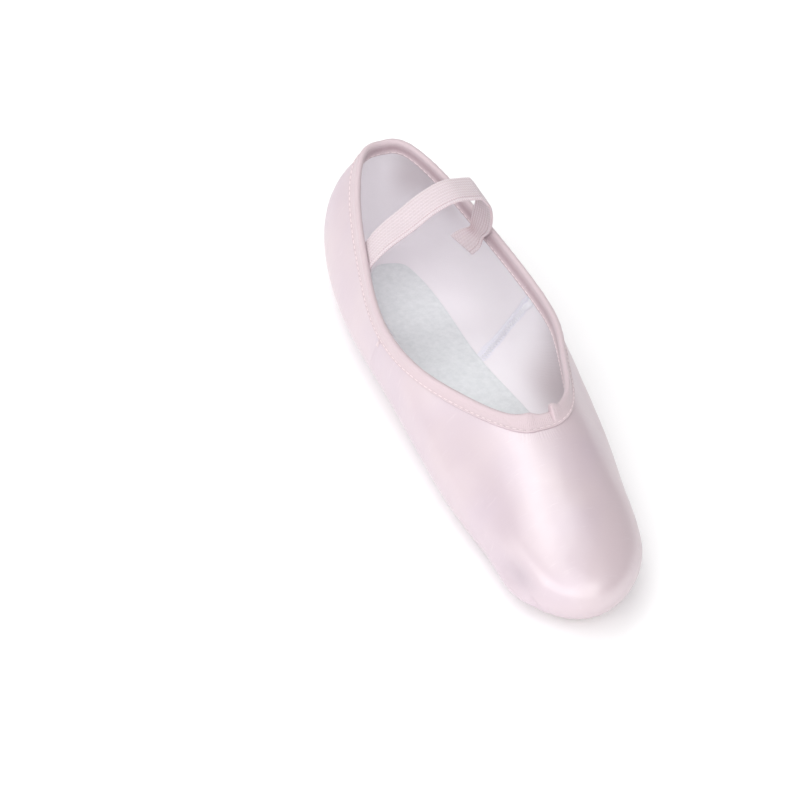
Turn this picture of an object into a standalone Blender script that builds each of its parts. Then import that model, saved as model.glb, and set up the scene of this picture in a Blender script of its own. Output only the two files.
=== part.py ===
"""A soft demi-pointe shoe of satin for the left foot, standing empty on its sole.

+Z is up and the toe points to -Y, so the big toe's side, the medial one, is at -X and the lateral one at +X.
The tables and the sizes are in millimetres, and along is measured from the back of the heel.
"""

from collections import namedtuple
import math

import bpy
import numpy as np

MM = 0.001

# Thicknesses and gaps
WALL = 1.6
OUTSOLE = 1.8
INSOLE = 1.2
GAP = 0.3
BINDING_GAP = 0.5
FILLER_GAP = 0.5

# The upper's edge lies flat between the soles and reaches this far inside the insole's outline
MARGIN_LAP = 3.0

# The outsole's rounded edge
SOLE_EDGE = 0.4

# How full the upper is where it turns under: the shares of its drop and of its inset that it keeps straight
FULL_DOWN = 0.55
FULL_IN = 0.60

# The wall leans inwards at the rim, and where it runs further inwards than this it leans the way that it runs
LEAN_RUN = 20.0

# The binding is a tape folded over the collar with a cord in its fold
TAPE = 0.9
TAPE_OUTSIDE = 5.0
TAPE_INSIDE = 5.5
CORD_RISE = 1.3

# The sole lies flat under the heel and the ball, and rises a little at the arch and the toe
TOE_SPRING = 3.0
ARCH_RISE = 1.3
ARCH_FROM = 0.28
ARCH_TO = 0.60
SPRING_FROM = 0.80

# The elastic strap
STRAP_WIDTH = 14.0
STRAP_THICKNESS = 1.2
STRAP_ALONG = 57.0
STRAP_CLEAR = 0.9

# How finely the pieces are divided
COLUMNS = 72
CURVE_POINTS = 81
WALL_ROWS = 9
BOTTOM_ROWS = 6
STRAP_STEPS = 3

# The line where the upper is widest. foot_in and sole_in are how far inside it the upper reaches the sole and
# the outsole ends. medial_sock and lateral_sock are how far inside it the insole ends on each side. The first
# and last rows are one point each, so far medial.
Widest = namedtuple("Widest", "along medial lateral height foot_in sole_in medial_sock lateral_sock")
WIDEST = [
    Widest(0.0, 1.5, -1.5, 27.0, 15.0, 14.0, 22.0, 22.0),
    Widest(8.0, 20.5, 19.5, 26.0, 14.5, 13.5, 20.5, 22.0),
    Widest(30.0, 30.0, 27.5, 22.0, 14.5, 13.5, 18.5, 19.5),
    Widest(62.0, 34.5, 32.5, 20.5, 16.0, 17.0, 19.5, 21.5),
    Widest(96.0, 35.0, 35.0, 20.0, 15.5, 17.0, 20.0, 22.5),
    Widest(130.0, 34.5, 35.0, 18.5, 12.5, 11.5, 16.0, 16.5),
    Widest(162.0, 33.5, 32.0, 15.0, 11.0, 10.0, 14.0, 14.0),
    Widest(192.0, 30.5, 26.5, 14.0, 10.0, 9.0, 13.0, 13.0),
    Widest(220.0, 25.0, 18.5, 14.0, 9.5, 8.5, 12.5, 12.5),
    Widest(235.0, 5.0, -5.0, 14.0, 9.5, 8.5, 13.0, 13.0),
]

# The collar's rim. medial_lean and lateral_lean are how far the wall tilts inwards there on each side, in
# degrees from upright. rise and finish are the shares of the way up that the wall leaves straight up and
# arrives with that lean.
Rim = namedtuple("Rim", "along medial lateral height medial_lean lateral_lean rise finish")
RIM = [
    Rim(8.5, -1.0, 1.0, 55.0, 35.0, 35.0, 0.40, 0.41),
    Rim(13.0, 9.0, 10.0, 55.0, 35.0, 30.0, 0.40, 0.41),
    Rim(32.5, 19.0, 19.5, 49.5, 26.0, 17.0, 0.37, 0.38),
    Rim(61.5, 27.0, 27.0, 43.0, 19.0, 10.0, 0.35, 0.35),
    Rim(89.0, 32.0, 31.0, 39.5, 23.0, 13.0, 0.35, 0.36),
    Rim(113.5, 31.0, 30.5, 39.5, 34.0, 27.0, 0.33, 0.36),
    Rim(133.0, 24.0, 25.0, 40.0, 50.0, 46.0, 0.28, 0.40),
    Rim(153.0, 13.0, 17.5, 41.5, 64.0, 62.0, 0.24, 0.45),
    Rim(162.5, 4.5, 8.0, 42.0, 72.0, 72.0, 0.22, 0.50),
    Rim(163.5, -0.5, 0.5, 42.0, 75.0, 75.0, 0.20, 0.50),
]

# The strap's way over the instep, seen from the toe: up from the medial collar to a sharp crease, then down
# inside the lateral collar to its loose end. twist turns its width with the collar, in degrees.
Way = namedtuple("Way", "across height twist")
STRAP_OVER = [
    Way(-21.5, 45.5, -11.0),
    Way(-16.5, 50.3, -6.0),
    Way(-7.5, 56.3, 0.0),
    Way(0.5, 61.8, 0.0),
    Way(8.8, 65.2, 0.0),
    Way(15.5, 64.7, 0.0),
    Way(20.4, 63.7, 0.0),
]
STRAP_DOWN = [
    Way(20.4, 63.7, 0.0),
    Way(23.4, 59.0, 2.0),
    Way(24.2, 53.5, 5.0),
    Way(22.9, 48.3, 10.0),
    Way(20.6, 43.0, 13.0),
    Way(18.5, 39.3, 13.0),
    Way(16.0, 36.0, 13.0),
]

# How far down the medial wall the strap's sewn end reaches, and where it bends round the binding
STRAP_END_DOWN = 19.0
STRAP_BEND_DOWN = (12.0, 8.5, 4.0, 0.5)

SATIN = ("satin", (0.80, 0.66, 0.69), 0.38)
SUEDE = ("suede", (0.55, 0.47, 0.46), 0.90)
FELT = ("felt", (0.68, 0.70, 0.72), 0.92)
TAPE_CLOTH = ("binding_tape", (0.82, 0.67, 0.71), 0.60)
ELASTIC = ("elastic", (0.80, 0.68, 0.70), 0.75)

HEEL_TO_TOE = WIDEST[-1].along

# The soles' insets run towards a line that stops this far short of the heel and the toe
SPINE_END = 30.0
SPINE_SOFTNESS = 8.0


def smooth_loop(knots):
    """A closed cubic spline through the knots, as a function of t, which goes once round from 0 to 1."""
    knots = np.asarray(knots, float)
    count = len(knots)
    here = np.arange(count)
    after = (here + 1) % count
    system = 4.0 * np.eye(count)
    system[here, after] += 1.0
    system[after, here] += 1.0
    bend = np.linalg.solve(system, 6.0 * (np.roll(knots, -1, 0) - 2.0 * knots + np.roll(knots, 1, 0)))

    def at(t):
        place = (np.asarray(t) % 1.0) * count
        first = np.floor(place).astype(int) % count
        second = (first + 1) % count
        near = (place - np.floor(place))[:, None]
        far = 1.0 - near
        return (
            far * knots[first]
            + near * knots[second]
            + ((far**3 - far) * bend[first] + (near**3 - near) * bend[second]) / 6.0
        )

    return at


def outline_loop(rows):
    """The closed line through a table's stations, by the medial side to the toe and back by the lateral."""
    medial = [(-row.medial, row.along, row.height) for row in rows[:-1]]
    lateral = [(row.lateral, row.along, row.height) for row in rows[:0:-1]]
    knots = np.array(medial + lateral)
    knots[:, 1] = HEEL_TO_TOE / 2 - knots[:, 1]
    return smooth_loop(knots)


def value_loop(rows, medial, lateral):
    """Columns of a table as a function of t, named for the medial side and for the lateral one."""
    there = [[getattr(row, name) for name in medial] for row in rows]
    back = [[getattr(row, name) for name in lateral] for row in rows[-2:0:-1]]
    return smooth_loop(there + back)


INSETS_MEDIAL = ("foot_in", "sole_in", "medial_sock")
INSETS_LATERAL = ("foot_in", "sole_in", "lateral_sock")
FORM_MEDIAL = ("medial_lean", "rise", "finish")
FORM_LATERAL = ("lateral_lean", "rise", "finish")

widest_at = outline_loop(WIDEST)
rim_at = outline_loop(RIM)
inset_at = value_loop(WIDEST, INSETS_MEDIAL, INSETS_LATERAL)
form_at = value_loop(RIM, FORM_MEDIAL, FORM_LATERAL)


def lift(y):
    """How far the sole rises above the floor."""
    along = (HEEL_TO_TOE / 2 - y) / HEEL_TO_TOE
    arch = np.clip((along - ARCH_FROM) / (ARCH_TO - ARCH_FROM), 0.0, 1.0)
    spring = np.clip((along - SPRING_FROM) / (1.0 - SPRING_FROM), 0.0, None)
    return ARCH_RISE * np.sin(math.pi * arch) ** 2 + TOE_SPRING * spring**2


def soft_floor(value, floor):
    """The value, eased so that it never passes below the floor."""
    return floor + SPINE_SOFTNESS * np.logaddexp(0.0, (value - floor) / SPINE_SOFTNESS)


def outward(t):
    """The level direction away from the shoe's middle line, at the widest line."""
    here = widest_at(t)
    middle = (here + widest_at(-np.asarray(t))) / 2
    reach = HEEL_TO_TOE / 2 - SPINE_END
    middle[:, 1] = -soft_floor(-soft_floor(middle[:, 1], -reach), -reach)
    away = (here - middle) * (1.0, 1.0, 0.0)
    return away / np.linalg.norm(away, axis=1, keepdims=True)


def bezier(corners, share):
    """Points along cubic curves, one for each column, at the shares of their way."""
    first, second, third, last = (corner[:, None, :] for corner in corners)
    near = np.atleast_2d(share)[..., None]
    far = 1.0 - near
    return far**3 * first + 3 * far**2 * near * second + 3 * far * near**2 * third + near**3 * last


def wall_curve(t):
    """The corners of the wall's curves, from the rim to the widest line, and their direction at the rim."""
    low = widest_at(t)
    low[:, 2] += lift(low[:, 1])
    top = rim_at(t)
    lean, rise, finish = form_at(t).T[..., None]
    chord = top - low
    length = np.linalg.norm(chord, axis=1, keepdims=True)
    level = chord * (1.0, 1.0, 0.0)
    run = np.linalg.norm(level, axis=1, keepdims=True)
    share = np.clip(run / LEAN_RUN, 0.0, 1.0)
    inwards = -outward(t) * (1.0 - share) + level / np.maximum(run, 1e-6) * share
    inwards /= np.linalg.norm(inwards, axis=1, keepdims=True)
    up = np.array([0.0, 0.0, 1.0])
    arriving = up * np.cos(np.radians(lean)) + inwards * np.sin(np.radians(lean))
    corners = (top, top - arriving * finish * length, low + up * rise * length, low)
    return corners, arriving


def down_wall(t, down):
    """Points on the upper's outer face, so far down from the rim. Above the rim they run straight on."""
    t = np.asarray(t, float)
    corners, arriving = wall_curve(t)
    fine = bezier(corners, np.linspace(0.0, 1.0, CURVE_POINTS)[None, :])
    steps = np.linalg.norm(np.diff(fine, axis=1), axis=2)
    travelled = np.concatenate([np.zeros((len(t), 1)), np.cumsum(steps, axis=1)], axis=1)
    down = np.broadcast_to(np.atleast_2d(down), (len(t), np.shape(np.atleast_2d(down))[1]))
    found = np.empty(down.shape + (3,))
    for column in range(len(t)):
        for axis in range(3):
            found[column, :, axis] = np.interp(down[column], travelled[column], fine[column, :, axis])
    above = np.clip(-down, 0.0, None)[..., None]
    return found + above * arriving[:, None, :]


def wall_length(t):
    """How far it is down the wall from the rim to the widest line."""
    fine = bezier(wall_curve(t)[0], np.linspace(0.0, 1.0, CURVE_POINTS)[None, :])
    return np.linalg.norm(np.diff(fine, axis=1), axis=2).sum(axis=1)


def off_wall(t, down, out):
    """Points as far out from the upper's outer face as out says, and inside it where out is negative."""
    t = np.asarray(t, float)
    step = 0.5
    turn = 2e-4
    here = down_wall(t, down)
    below = down_wall(t, np.asarray(down) + step)
    fore = down_wall(t + turn, down)
    aft = down_wall(t - turn, down)
    normal = np.cross(below - here, fore - aft)
    normal /= np.linalg.norm(normal, axis=2, keepdims=True)
    return here + normal * np.atleast_2d(out)[..., None]


def flat_ring(inset, height):
    """The widest line moved in by the inset and laid along the sole, so far above the sole's underside."""
    t = np.arange(COLUMNS) / COLUMNS
    ring = widest_at(t) - outward(t) * inset[:, None]
    ring[:, 2] = height + lift(ring[:, 1])
    return ring


def new_object(name, points, faces, material, collection, closed):
    points = np.asarray(points).reshape(-1, 3) - SHIFT
    mesh = bpy.data.meshes.new(name)
    mesh.from_pydata((points * MM).tolist(), [], faces)
    mesh.validate()
    if closed:
        turn_outwards(mesh)
    mesh.shade_smooth()
    mesh.set_sharp_from_angle(angle=math.radians(45.0))
    mesh.materials.append(material)
    made = bpy.data.objects.new(name, mesh)
    collection.objects.link(made)
    return made


def turn_outwards(mesh):
    """Turns a closed mesh's faces round if they point inwards."""
    volume = 0.0
    for face in mesh.polygons:
        corners = [mesh.vertices[i].co for i in face.vertices]
        for second, third in zip(corners[1:], corners[2:]):
            volume += corners[0].dot(second.cross(third))
    if volume < 0.0:
        mesh.flip_normals()


def loft_faces(rings, count, closed_rings=False):
    """The faces between rings of count points each, laid one after another."""
    faces = []
    pairs = [(ring, ring + 1) for ring in range(rings - 1)]
    if closed_rings:
        pairs.append((rings - 1, 0))
    for low, high in pairs:
        for here in range(count):
            after = (here + 1) % count
            low_edge = (low * count + here, low * count + after)
            high_edge = (high * count + after, high * count + here)
            faces.append(low_edge + high_edge)
    return faces


def across_faces(first, count, flip):
    """The faces that close a ring by joining each medial point to the lateral one across from it."""
    faces = []
    for here in range(count // 2):
        face = [here, here + 1, count - here - 1, (count - here) % count]
        face = [first + corner for corner in dict.fromkeys(face)]
        faces.append(tuple(face[::-1] if flip else face))
    return faces


def closed_loft(name, rings, material, collection):
    """A solid through rings of one size, with its two end rings closed across."""
    count = len(rings[0])
    last = (len(rings) - 1) * count
    faces = loft_faces(len(rings), count)
    faces += across_faces(0, count, flip=True) + across_faces(last, count, flip=False)
    return new_object(name, np.concatenate(rings), faces, material, collection, closed=True)


def add_solidify(made, thickness, offset):
    solidify = made.modifiers.new("thickness", "SOLIDIFY")
    solidify.thickness = thickness * MM
    solidify.offset = offset
    solidify.use_even_offset = True


def add_bevel(made, width):
    bevel = made.modifiers.new("edges", "BEVEL")
    bevel.width = width * MM
    bevel.segments = 2
    bevel.limit_method = "ANGLE"
    bevel.angle_limit = math.radians(60.0)


def new_material(look):
    name, colour, roughness = look
    material = bpy.data.materials.new(name)
    material.use_nodes = True
    shader = material.node_tree.nodes["Principled BSDF"]
    shader.inputs["Base Color"].default_value = (*colour, 1.0)
    shader.inputs["Roughness"].default_value = roughness
    shader.inputs["Metallic"].default_value = 0.0
    material.diffuse_color = (*colour, 1.0)
    return material


def upper_rows():
    """The upper's outer face, from the rim down the wall, round under it and in along the flat margin."""
    t = np.arange(COLUMNS) / COLUMNS
    near_rim = np.array([0.0, TAPE_OUTSIDE / 2, TAPE_OUTSIDE])
    rest = np.linspace(0.0, 1.0, WALL_ROWS + 1)[1:]
    length = wall_length(t)[:, None]
    down = np.concatenate(
        [np.broadcast_to(near_rim, (COLUMNS, 3)), TAPE_OUTSIDE + rest * (length - TAPE_OUTSIDE)], axis=1
    )
    wall = down_wall(t, down)
    foot_in, _, insole_in = inset_at(t).T
    away = outward(t)
    low = wall[:, -1]
    foot = flat_ring(foot_in, OUTSOLE + GAP)
    drop = low[:, 2:] - foot[:, 2:]
    up = np.array([0.0, 0.0, 1.0])
    corners = (low, low - up * drop * FULL_DOWN, foot + away * foot_in[:, None] * FULL_IN, foot)
    bottom = bezier(corners, np.linspace(0.0, 1.0, BOTTOM_ROWS + 1)[None, 1:])
    margin = flat_ring(insole_in + MARGIN_LAP, OUTSOLE + GAP)
    return np.concatenate([wall, bottom, margin[:, None]], axis=1)


def make_upper(collection):
    """Satin, backing and lining as one wall, open at the collar and underneath between the soles."""
    rows = upper_rows()[:, ::-1].transpose(1, 0, 2)
    faces = loft_faces(len(rows), COLUMNS)
    upper = new_object("upper", rows, faces, new_material(SATIN), collection, closed=False)
    add_solidify(upper, WALL, offset=-1.0)


def make_outsole(collection):
    """A suede sole, stitched flat under the upper's margin."""
    sole_in = inset_at(np.arange(COLUMNS) / COLUMNS)[:, 1]
    rings = [flat_ring(sole_in, 0.0), flat_ring(sole_in, OUTSOLE)]
    outsole = closed_loft("outsole", rings, new_material(SUEDE), collection)
    add_bevel(outsole, SOLE_EDGE)


def make_insole(collection):
    """The sock inside, which lies on the upper's margin. Its middle fills the opening between the margins."""
    insole_in = inset_at(np.arange(COLUMNS) / COLUMNS)[:, 2]
    filler_in = insole_in + MARGIN_LAP + FILLER_GAP
    under = OUTSOLE + GAP
    on_margin = under + WALL + GAP
    rings = [
        flat_ring(filler_in, under),
        flat_ring(filler_in, on_margin),
        flat_ring(insole_in, on_margin),
        flat_ring(insole_in, on_margin + INSOLE),
    ]
    closed_loft("insole", rings, new_material(FELT), collection)


def binding_section():
    """The folded tape's section, as distances down the wall from the rim and out from its outer face."""
    outer = BINDING_GAP + TAPE
    inner = -(WALL + BINDING_GAP + TAPE)
    middle = (outer + inner) / 2
    half = (outer - inner) / 2
    turns = np.linspace(0.0, math.pi, 5)
    fold = [(-CORD_RISE * math.sin(turn), middle + half * math.cos(turn)) for turn in turns]
    outside = [(TAPE_OUTSIDE, outer), (TAPE_OUTSIDE / 2, outer)]
    inside = [(TAPE_INSIDE / 2, inner), (TAPE_INSIDE, inner)]
    back = [
        (TAPE_INSIDE, -(WALL + BINDING_GAP)),
        (TAPE_INSIDE / 2, -(WALL + BINDING_GAP)),
        (-BINDING_GAP, -(WALL + BINDING_GAP)),
        (-BINDING_GAP, BINDING_GAP),
        (TAPE_OUTSIDE / 2, BINDING_GAP),
        (TAPE_OUTSIDE, BINDING_GAP),
    ]
    return outside + fold + inside + back


def make_binding(collection):
    """The drawstring's casing, a tape folded over the collar's whole rim."""
    t = np.arange(COLUMNS) / COLUMNS
    down, out = np.array(binding_section()).T
    points = off_wall(t, down, out)
    faces = loft_faces(COLUMNS, len(down), closed_rings=True)
    new_object("binding", points, faces, new_material(TAPE_CLOTH), collection, closed=True)


def smooth_way(points):
    """A Catmull-Rom curve through the points, with STRAP_STEPS steps from each to the next."""
    points = np.asarray(points, float)
    ends = np.concatenate([[2 * points[0] - points[1]], points, [2 * points[-1] - points[-2]]])
    way = []
    for before, start, stop, after in zip(ends, ends[1:], ends[2:], ends[3:]):
        for share in np.arange(STRAP_STEPS) / STRAP_STEPS:
            way.append(
                start
                + 0.5 * share * (stop - before)
                + share**2 * (before - 2.5 * start + 2 * stop - 0.5 * after)
                + share**3 * (1.5 * start - 1.5 * stop + 0.5 * after - 0.5 * before)
            )
    return way + [points[-1]]


def strap_column():
    """Where round the collar the strap's middle leaves it on the medial side."""
    t = np.linspace(0.0, 0.5, 501)
    return t[np.argmin(abs(rim_at(t)[:, 1] - (HEEL_TO_TOE / 2 - STRAP_ALONG)))]


def strap_way():
    """The strap's middle line, as rows of across, height and twist."""
    flat = -(WALL + STRAP_CLEAR + STRAP_THICKNESS / 2)
    over_tape = flat - BINDING_GAP - TAPE
    stand_off = (flat, over_tape, over_tape, over_tape)
    column = strap_column()
    beside = np.array([column, column - 0.01, column + 0.01])
    sewn, heelward, toeward = off_wall(beside, [STRAP_END_DOWN, *STRAP_BEND_DOWN], [flat, *stand_off])
    run = toeward - heelward
    twist = np.degrees(np.arctan2(run[:, 0], -run[:, 1]))
    start = [(point[0], point[2], turn) for point, turn in zip(sewn, twist)]
    over = smooth_way(start + STRAP_OVER)
    return over[:-1] + smooth_way(STRAP_DOWN)


def make_strap(collection):
    """Elastic, sewn to the lining on the medial side, with its other end loose inside the lateral wall."""
    middle = HEEL_TO_TOE / 2 - STRAP_ALONG
    points = []
    for across, height, twist in strap_way():
        for side in (1.0, -1.0):
            reach = side * STRAP_WIDTH / 2
            turn = math.radians(twist)
            points.append((across - reach * math.sin(turn), middle + reach * math.cos(turn), height))
    rungs = len(points) // 2
    faces = [(2 * rung, 2 * rung + 1, 2 * rung + 3, 2 * rung + 2) for rung in range(rungs - 1)]
    strap = new_object("elastic_strap", points, faces, new_material(ELASTIC), collection, closed=False)
    add_solidify(strap, STRAP_THICKNESS, offset=0.0)


def middle_of_outline():
    """What moves the widest line's own middle to the origin."""
    line = widest_at(np.linspace(0.0, 1.0, 2001))
    middle = (line.min(axis=0) + line.max(axis=0)) / 2
    return np.array([middle[0], middle[1], 0.0])


def clear_scene():
    for old in list(bpy.data.objects):
        bpy.data.objects.remove(old, do_unlink=True)


SHIFT = middle_of_outline()
clear_scene()
shoe = bpy.data.collections.new("demi_pointe_shoe")
bpy.context.scene.collection.children.link(shoe)
make_upper(shoe)
make_outsole(shoe)
make_insole(shoe)
make_binding(shoe)
make_strap(shoe)
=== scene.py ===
"""The looks of a satin demi-pointe shoe: its cloths, seams, creases and stitches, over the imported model.

+Z is up and the toe points to -Y. The tables and the sizes are in millimetres, and along is measured from
the back of the heel. The first part repeats the shape of the last, so that each piece lies where its solid
does. t runs once round the shoe: 0 is at the heel, 0.5 at the toe, and the medial side lies between them.
"""

from collections import namedtuple
import math

import bpy
from mathutils import Matrix
import numpy as np


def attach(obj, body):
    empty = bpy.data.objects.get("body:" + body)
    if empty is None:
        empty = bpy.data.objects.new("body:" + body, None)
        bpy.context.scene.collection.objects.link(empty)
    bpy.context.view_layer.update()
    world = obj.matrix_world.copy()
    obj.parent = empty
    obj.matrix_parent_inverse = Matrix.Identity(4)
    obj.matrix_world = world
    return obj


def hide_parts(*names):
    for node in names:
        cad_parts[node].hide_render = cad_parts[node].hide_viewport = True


MM = 0.001
TURN = 2 * math.pi
UP = np.array([0.0, 0.0, 1.0])

# The solids' thicknesses, gaps and form, as the part has them
WALL = 1.6
OUTSOLE = 1.8
INSOLE = 1.2
GAP = 0.3
MARGIN_LAP = 3.0
FULL_DOWN = 0.55
FULL_IN = 0.60
LEAN_RUN = 20.0
TOE_SPRING = 3.0
ARCH_RISE = 1.3
ARCH_FROM = 0.28
ARCH_TO = 0.60
SPRING_FROM = 0.80
SPINE_END = 30.0
SPINE_SOFTNESS = 8.0
STRAP_WIDTH = 14.0
STRAP_THICKNESS = 1.2
STRAP_ALONG = 57.0
STRAP_END_DOWN = 19.0
STRAP_BEND_DOWN = (12.0, 8.5, 4.0, 0.5)
CURVE_SHARES = np.linspace(0.0, 1.0, 81)

# A cloth of the upper: how finely it is divided, and how far down from the rim it starts
Sheet = namedtuple("Sheet", "columns wall_rows under_rows margin_rows start")
SATIN_SHEET = Sheet(710, 84, 44, 5, 1.5)
LINING_SHEET = Sheet(500, 60, 26, 5, 2.2)
SATIN_THICKNESS = 0.5
LINING_DEPTH = WALL - 0.05

# The slack of empty cloth: its waves' pitch, how many lie over each other, their seed and their height
Slack = namedtuple("Slack", "pitch waves seed height")
SATIN_SLACK = Slack(42.0, 9, 3, 0.13)
FOREFOOT_SLACK = Slack(17.0, 14, 5, 0.06)
FINE_SLACK = Slack(6.5, 18, 11, 0.018)
LINING_SLACK = Slack(30.0, 9, 23, 0.10)
TAPE_SLACK = Slack(3.2, 12, 31, 0.05)
STRAP_SLACK = Slack(11.0, 10, 41, 0.10)

# Pleats gather the satin under both ends, so far to each side of their middle and from a place v down
Pleats = namedtuple("Pleats", "count middle reach first depth")
PLEATS = [Pleats(95, 0.5, 0.17, 1.30, 0.85), Pleats(80, 0.0, 0.085, 1.45, 0.55)]

# Ridges and grooves along a seam: their height, how far they lie towards the toe from it, and their width
SEAM_BEADS = [(0.14, 0.0, 1.8), (-0.20, 0.0, 0.35)]
OVERCAST_BEADS = [(0.30, -1.70, 0.50), (-0.16, -0.90, 0.28)]

# Patches of painted shade on the lining, where shade falls low in front and beside the heel: the strength,
# and the ranges across, along and in height, from none to full
PAINTED_SHADE_PATCHES = [
    (1.0, (17.0, 33.0), (86.0, 118.0), (38.0, 26.0)),
    (0.62, (4.0, 16.0), (44.0, 20.0), (16.0, 34.0)),
]
# How strong the painted shade is on the lining's patches and in the satin's dent
LINING_SHADE = 0.75
DENT_SHADE = 0.60

# Where painted shade darkens and warms the lining deep in the toe, in metres along the shoe
LINING_TOE_SHADE = (-0.022, -0.050)

# Threads, the overcast edges of the side seams inside, and the stitches along the binding's leaves
THREAD_SIDES = 6
STITCH_THREAD = 0.14
OVERCAST_THREAD = 0.21
OVERCAST_HALF = 2.3
OVERCAST_RISE = 0.35
OVERCAST_PITCH = 1.5
SEAM_STITCH_PITCH = 2.2
SEAM_POINTS_PER_MM = 12
STITCH_PITCH = 2.6
STITCH_LENGTH = 2.15
STITCH_ARCH = (-0.12, 0.05, 0.10, 0.10, 0.05, -0.12)

# The zigzag at the top of each side seam outside, down from the rim
TACK_FROM = 5.3
TACK_TO = 9.0
TACK_WAVES = 5
TACK_SWAY = 0.0016
TACK_THREAD = 0.13
TACK_LIFT = 0.30

# How far out from the wall the strap lies, closer to the lining and the folded tape than its stiff solid
STRAP_ON_LINING = -2.30
STRAP_ON_TAPE = -3.40
STRAP_AT_RIM = -2.85

# How finely the strap is divided, its cords' pitch, and the line that is pressed in along its edge
STRAP_STEPS = 14
STRAP_POINTS = 95
STRAP_CORD = 1.55
STRAP_LINE = 1.75 - STRAP_WIDTH / 2
STRAP_LINE_WIDTH = 0.25

# The thread that holds the strap's sewn end
SEWN_ACROSS = -24.5
SEWN_ROWS = 4
SEWN_POINTS = 113
SEWN_THREAD = 0.12

# The sock's edge: how far its rings lie in from its outline, and how far above its top
SOCK_IN = (0.6, 0.05, 0.0, 0.15, 0.6, 1.5, 2.2, 3.0)
SOCK_ABOVE = (-1.15, -0.95, -0.6, -0.2, 0.0, 0.02, 0.0, 0.0)

# The line where the upper is widest. foot_in is how far inside it the upper reaches the sole, and the sock's
# edge lies so far inside it on each side.
Widest = namedtuple("Widest", "along medial lateral height foot_in medial_sock lateral_sock")
WIDEST = [
    Widest(0.0, 1.5, -1.5, 27.0, 15.0, 22.0, 22.0),
    Widest(8.0, 20.5, 19.5, 26.0, 14.5, 20.5, 22.0),
    Widest(30.0, 30.0, 27.5, 22.0, 14.5, 18.5, 19.5),
    Widest(62.0, 34.5, 32.5, 20.5, 16.0, 19.5, 21.5),
    Widest(96.0, 35.0, 35.0, 20.0, 15.5, 20.0, 22.5),
    Widest(130.0, 34.5, 35.0, 18.5, 12.5, 16.0, 16.5),
    Widest(162.0, 33.5, 32.0, 15.0, 11.0, 14.0, 14.0),
    Widest(192.0, 30.5, 26.5, 14.0, 10.0, 13.0, 13.0),
    Widest(220.0, 25.0, 18.5, 14.0, 9.5, 12.5, 12.5),
    Widest(235.0, 5.0, -5.0, 14.0, 9.5, 13.0, 13.0),
]

# The collar's rim. The leans are the wall's tilt there, in degrees from upright, and rise and finish are the
# shares of its way that it leaves the widest line straight up and comes to the rim along its lean.
Rim = namedtuple("Rim", "along medial lateral height medial_lean lateral_lean rise finish")
RIM = [
    Rim(8.5, -1.0, 1.0, 55.0, 35.0, 35.0, 0.40, 0.41),
    Rim(13.0, 9.0, 10.0, 55.0, 35.0, 30.0, 0.40, 0.41),
    Rim(32.5, 19.0, 19.5, 49.5, 26.0, 17.0, 0.37, 0.38),
    Rim(61.5, 27.0, 27.0, 43.0, 19.0, 10.0, 0.35, 0.35),
    Rim(89.0, 32.0, 31.0, 39.5, 23.0, 13.0, 0.35, 0.36),
    Rim(113.5, 31.0, 30.5, 39.5, 34.0, 27.0, 0.33, 0.36),
    Rim(133.0, 24.0, 25.0, 40.0, 50.0, 46.0, 0.28, 0.40),
    Rim(153.0, 13.0, 17.5, 41.5, 64.0, 62.0, 0.24, 0.45),
    Rim(162.5, 4.5, 8.0, 42.0, 72.0, 72.0, 0.22, 0.50),
    Rim(163.5, -0.5, 0.5, 42.0, 75.0, 75.0, 0.20, 0.50),
]

# The strap's middle line over the collar, and from its bend down to the loose end: across, height and twist
STRAP_OVER = [
    (-21.5, 45.5, -11.0),
    (-16.5, 50.3, -6.0),
    (-7.5, 56.3, 0.0),
    (0.5, 61.8, 0.0),
    (8.8, 65.2, 0.0),
    (15.5, 64.7, 0.0),
    (20.4, 63.7, 0.0),
]
STRAP_DOWN = [
    STRAP_OVER[-1],
    (23.4, 59.0, 2.0),
    (24.5, 53.5, 3.0),
    (24.0, 48.0, 6.0),
    (22.8, 43.6, 9.0),
    (21.2, 40.9, 11.0),
    (18.6, 38.9, 13.0),
    (15.6, 37.0, 14.0),
]

HEEL_TO_TOE = WIDEST[-1].along

# The side seams join the vamp to the back of the upper, and slant from the rim to the sole
SIDE_SEAM_ALONG = {"medial": 96.0, "lateral": 98.0}
SEAM_FOOT_ALONG = {"medial": 86.0, "lateral": 88.0}
SEAM_FOOT_HEIGHT = 4.5
SEAM_SLANT = 1 / 3

# The lining's lateral seam has a way of its own: where it is round the shoe, for each place v down the wall
INNER_SEAM_DOWN = (0.0, 0.2, 0.5, 0.8, 1.0, 1.3, 1.5, 1.7, 1.9, 2.15, 2.6, 3.0)
INNER_SEAM_ROUND = (0.778, 0.782, 0.789, 0.797, 0.802, 0.807, 0.808, 0.806, 0.802, 0.797, 0.792, 0.790)

# The satin's soft creases: ridges where rise is above zero and troughs where it is below. Each runs from one
# place to another, given as across, along and height, and fades out over its width and towards its ends.
Crease = namedtuple("Crease", "across along height to_across to_along to_height width rise")
DENT = Crease(-29.5, 203.5, 16.9, -24.4, 219.5, 18.1, 4.6, -2.0)
CREASES = [
    DENT,
    Crease(-31.5, 186.0, 11.9, -29.2, 205.0, 12.6, 2.6, 0.5),
    Crease(-29.8, 201.5, 10.6, -24.0, 222.0, 11.6, 3.6, 2.0),
    Crease(-24.6, 220.0, 13.1, -23.4, 223.2, 9.3, 1.5, -1.4),
    Crease(-33.4, 163.0, 13.8, -31.1, 191.0, 12.2, 3.5, -0.5),
]


def normalized(vectors):
    return vectors / np.maximum(np.linalg.norm(vectors, axis=-1, keepdims=True), 1e-9)


def travelled(points, axis):
    """The length of the way along one axis of a grid, from its start."""
    steps = np.linalg.norm(np.diff(points, axis=axis), axis=-1)
    start = np.zeros_like(np.take(steps, [0], axis=axis))
    return np.concatenate([start, np.cumsum(steps, axis=axis)], axis=axis)


def interpolated(where, length, points):
    """Points so far along a way, from those that it has at each length."""
    return np.stack([np.interp(where, length, points[:, axis]) for axis in range(3)], axis=1)


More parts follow.
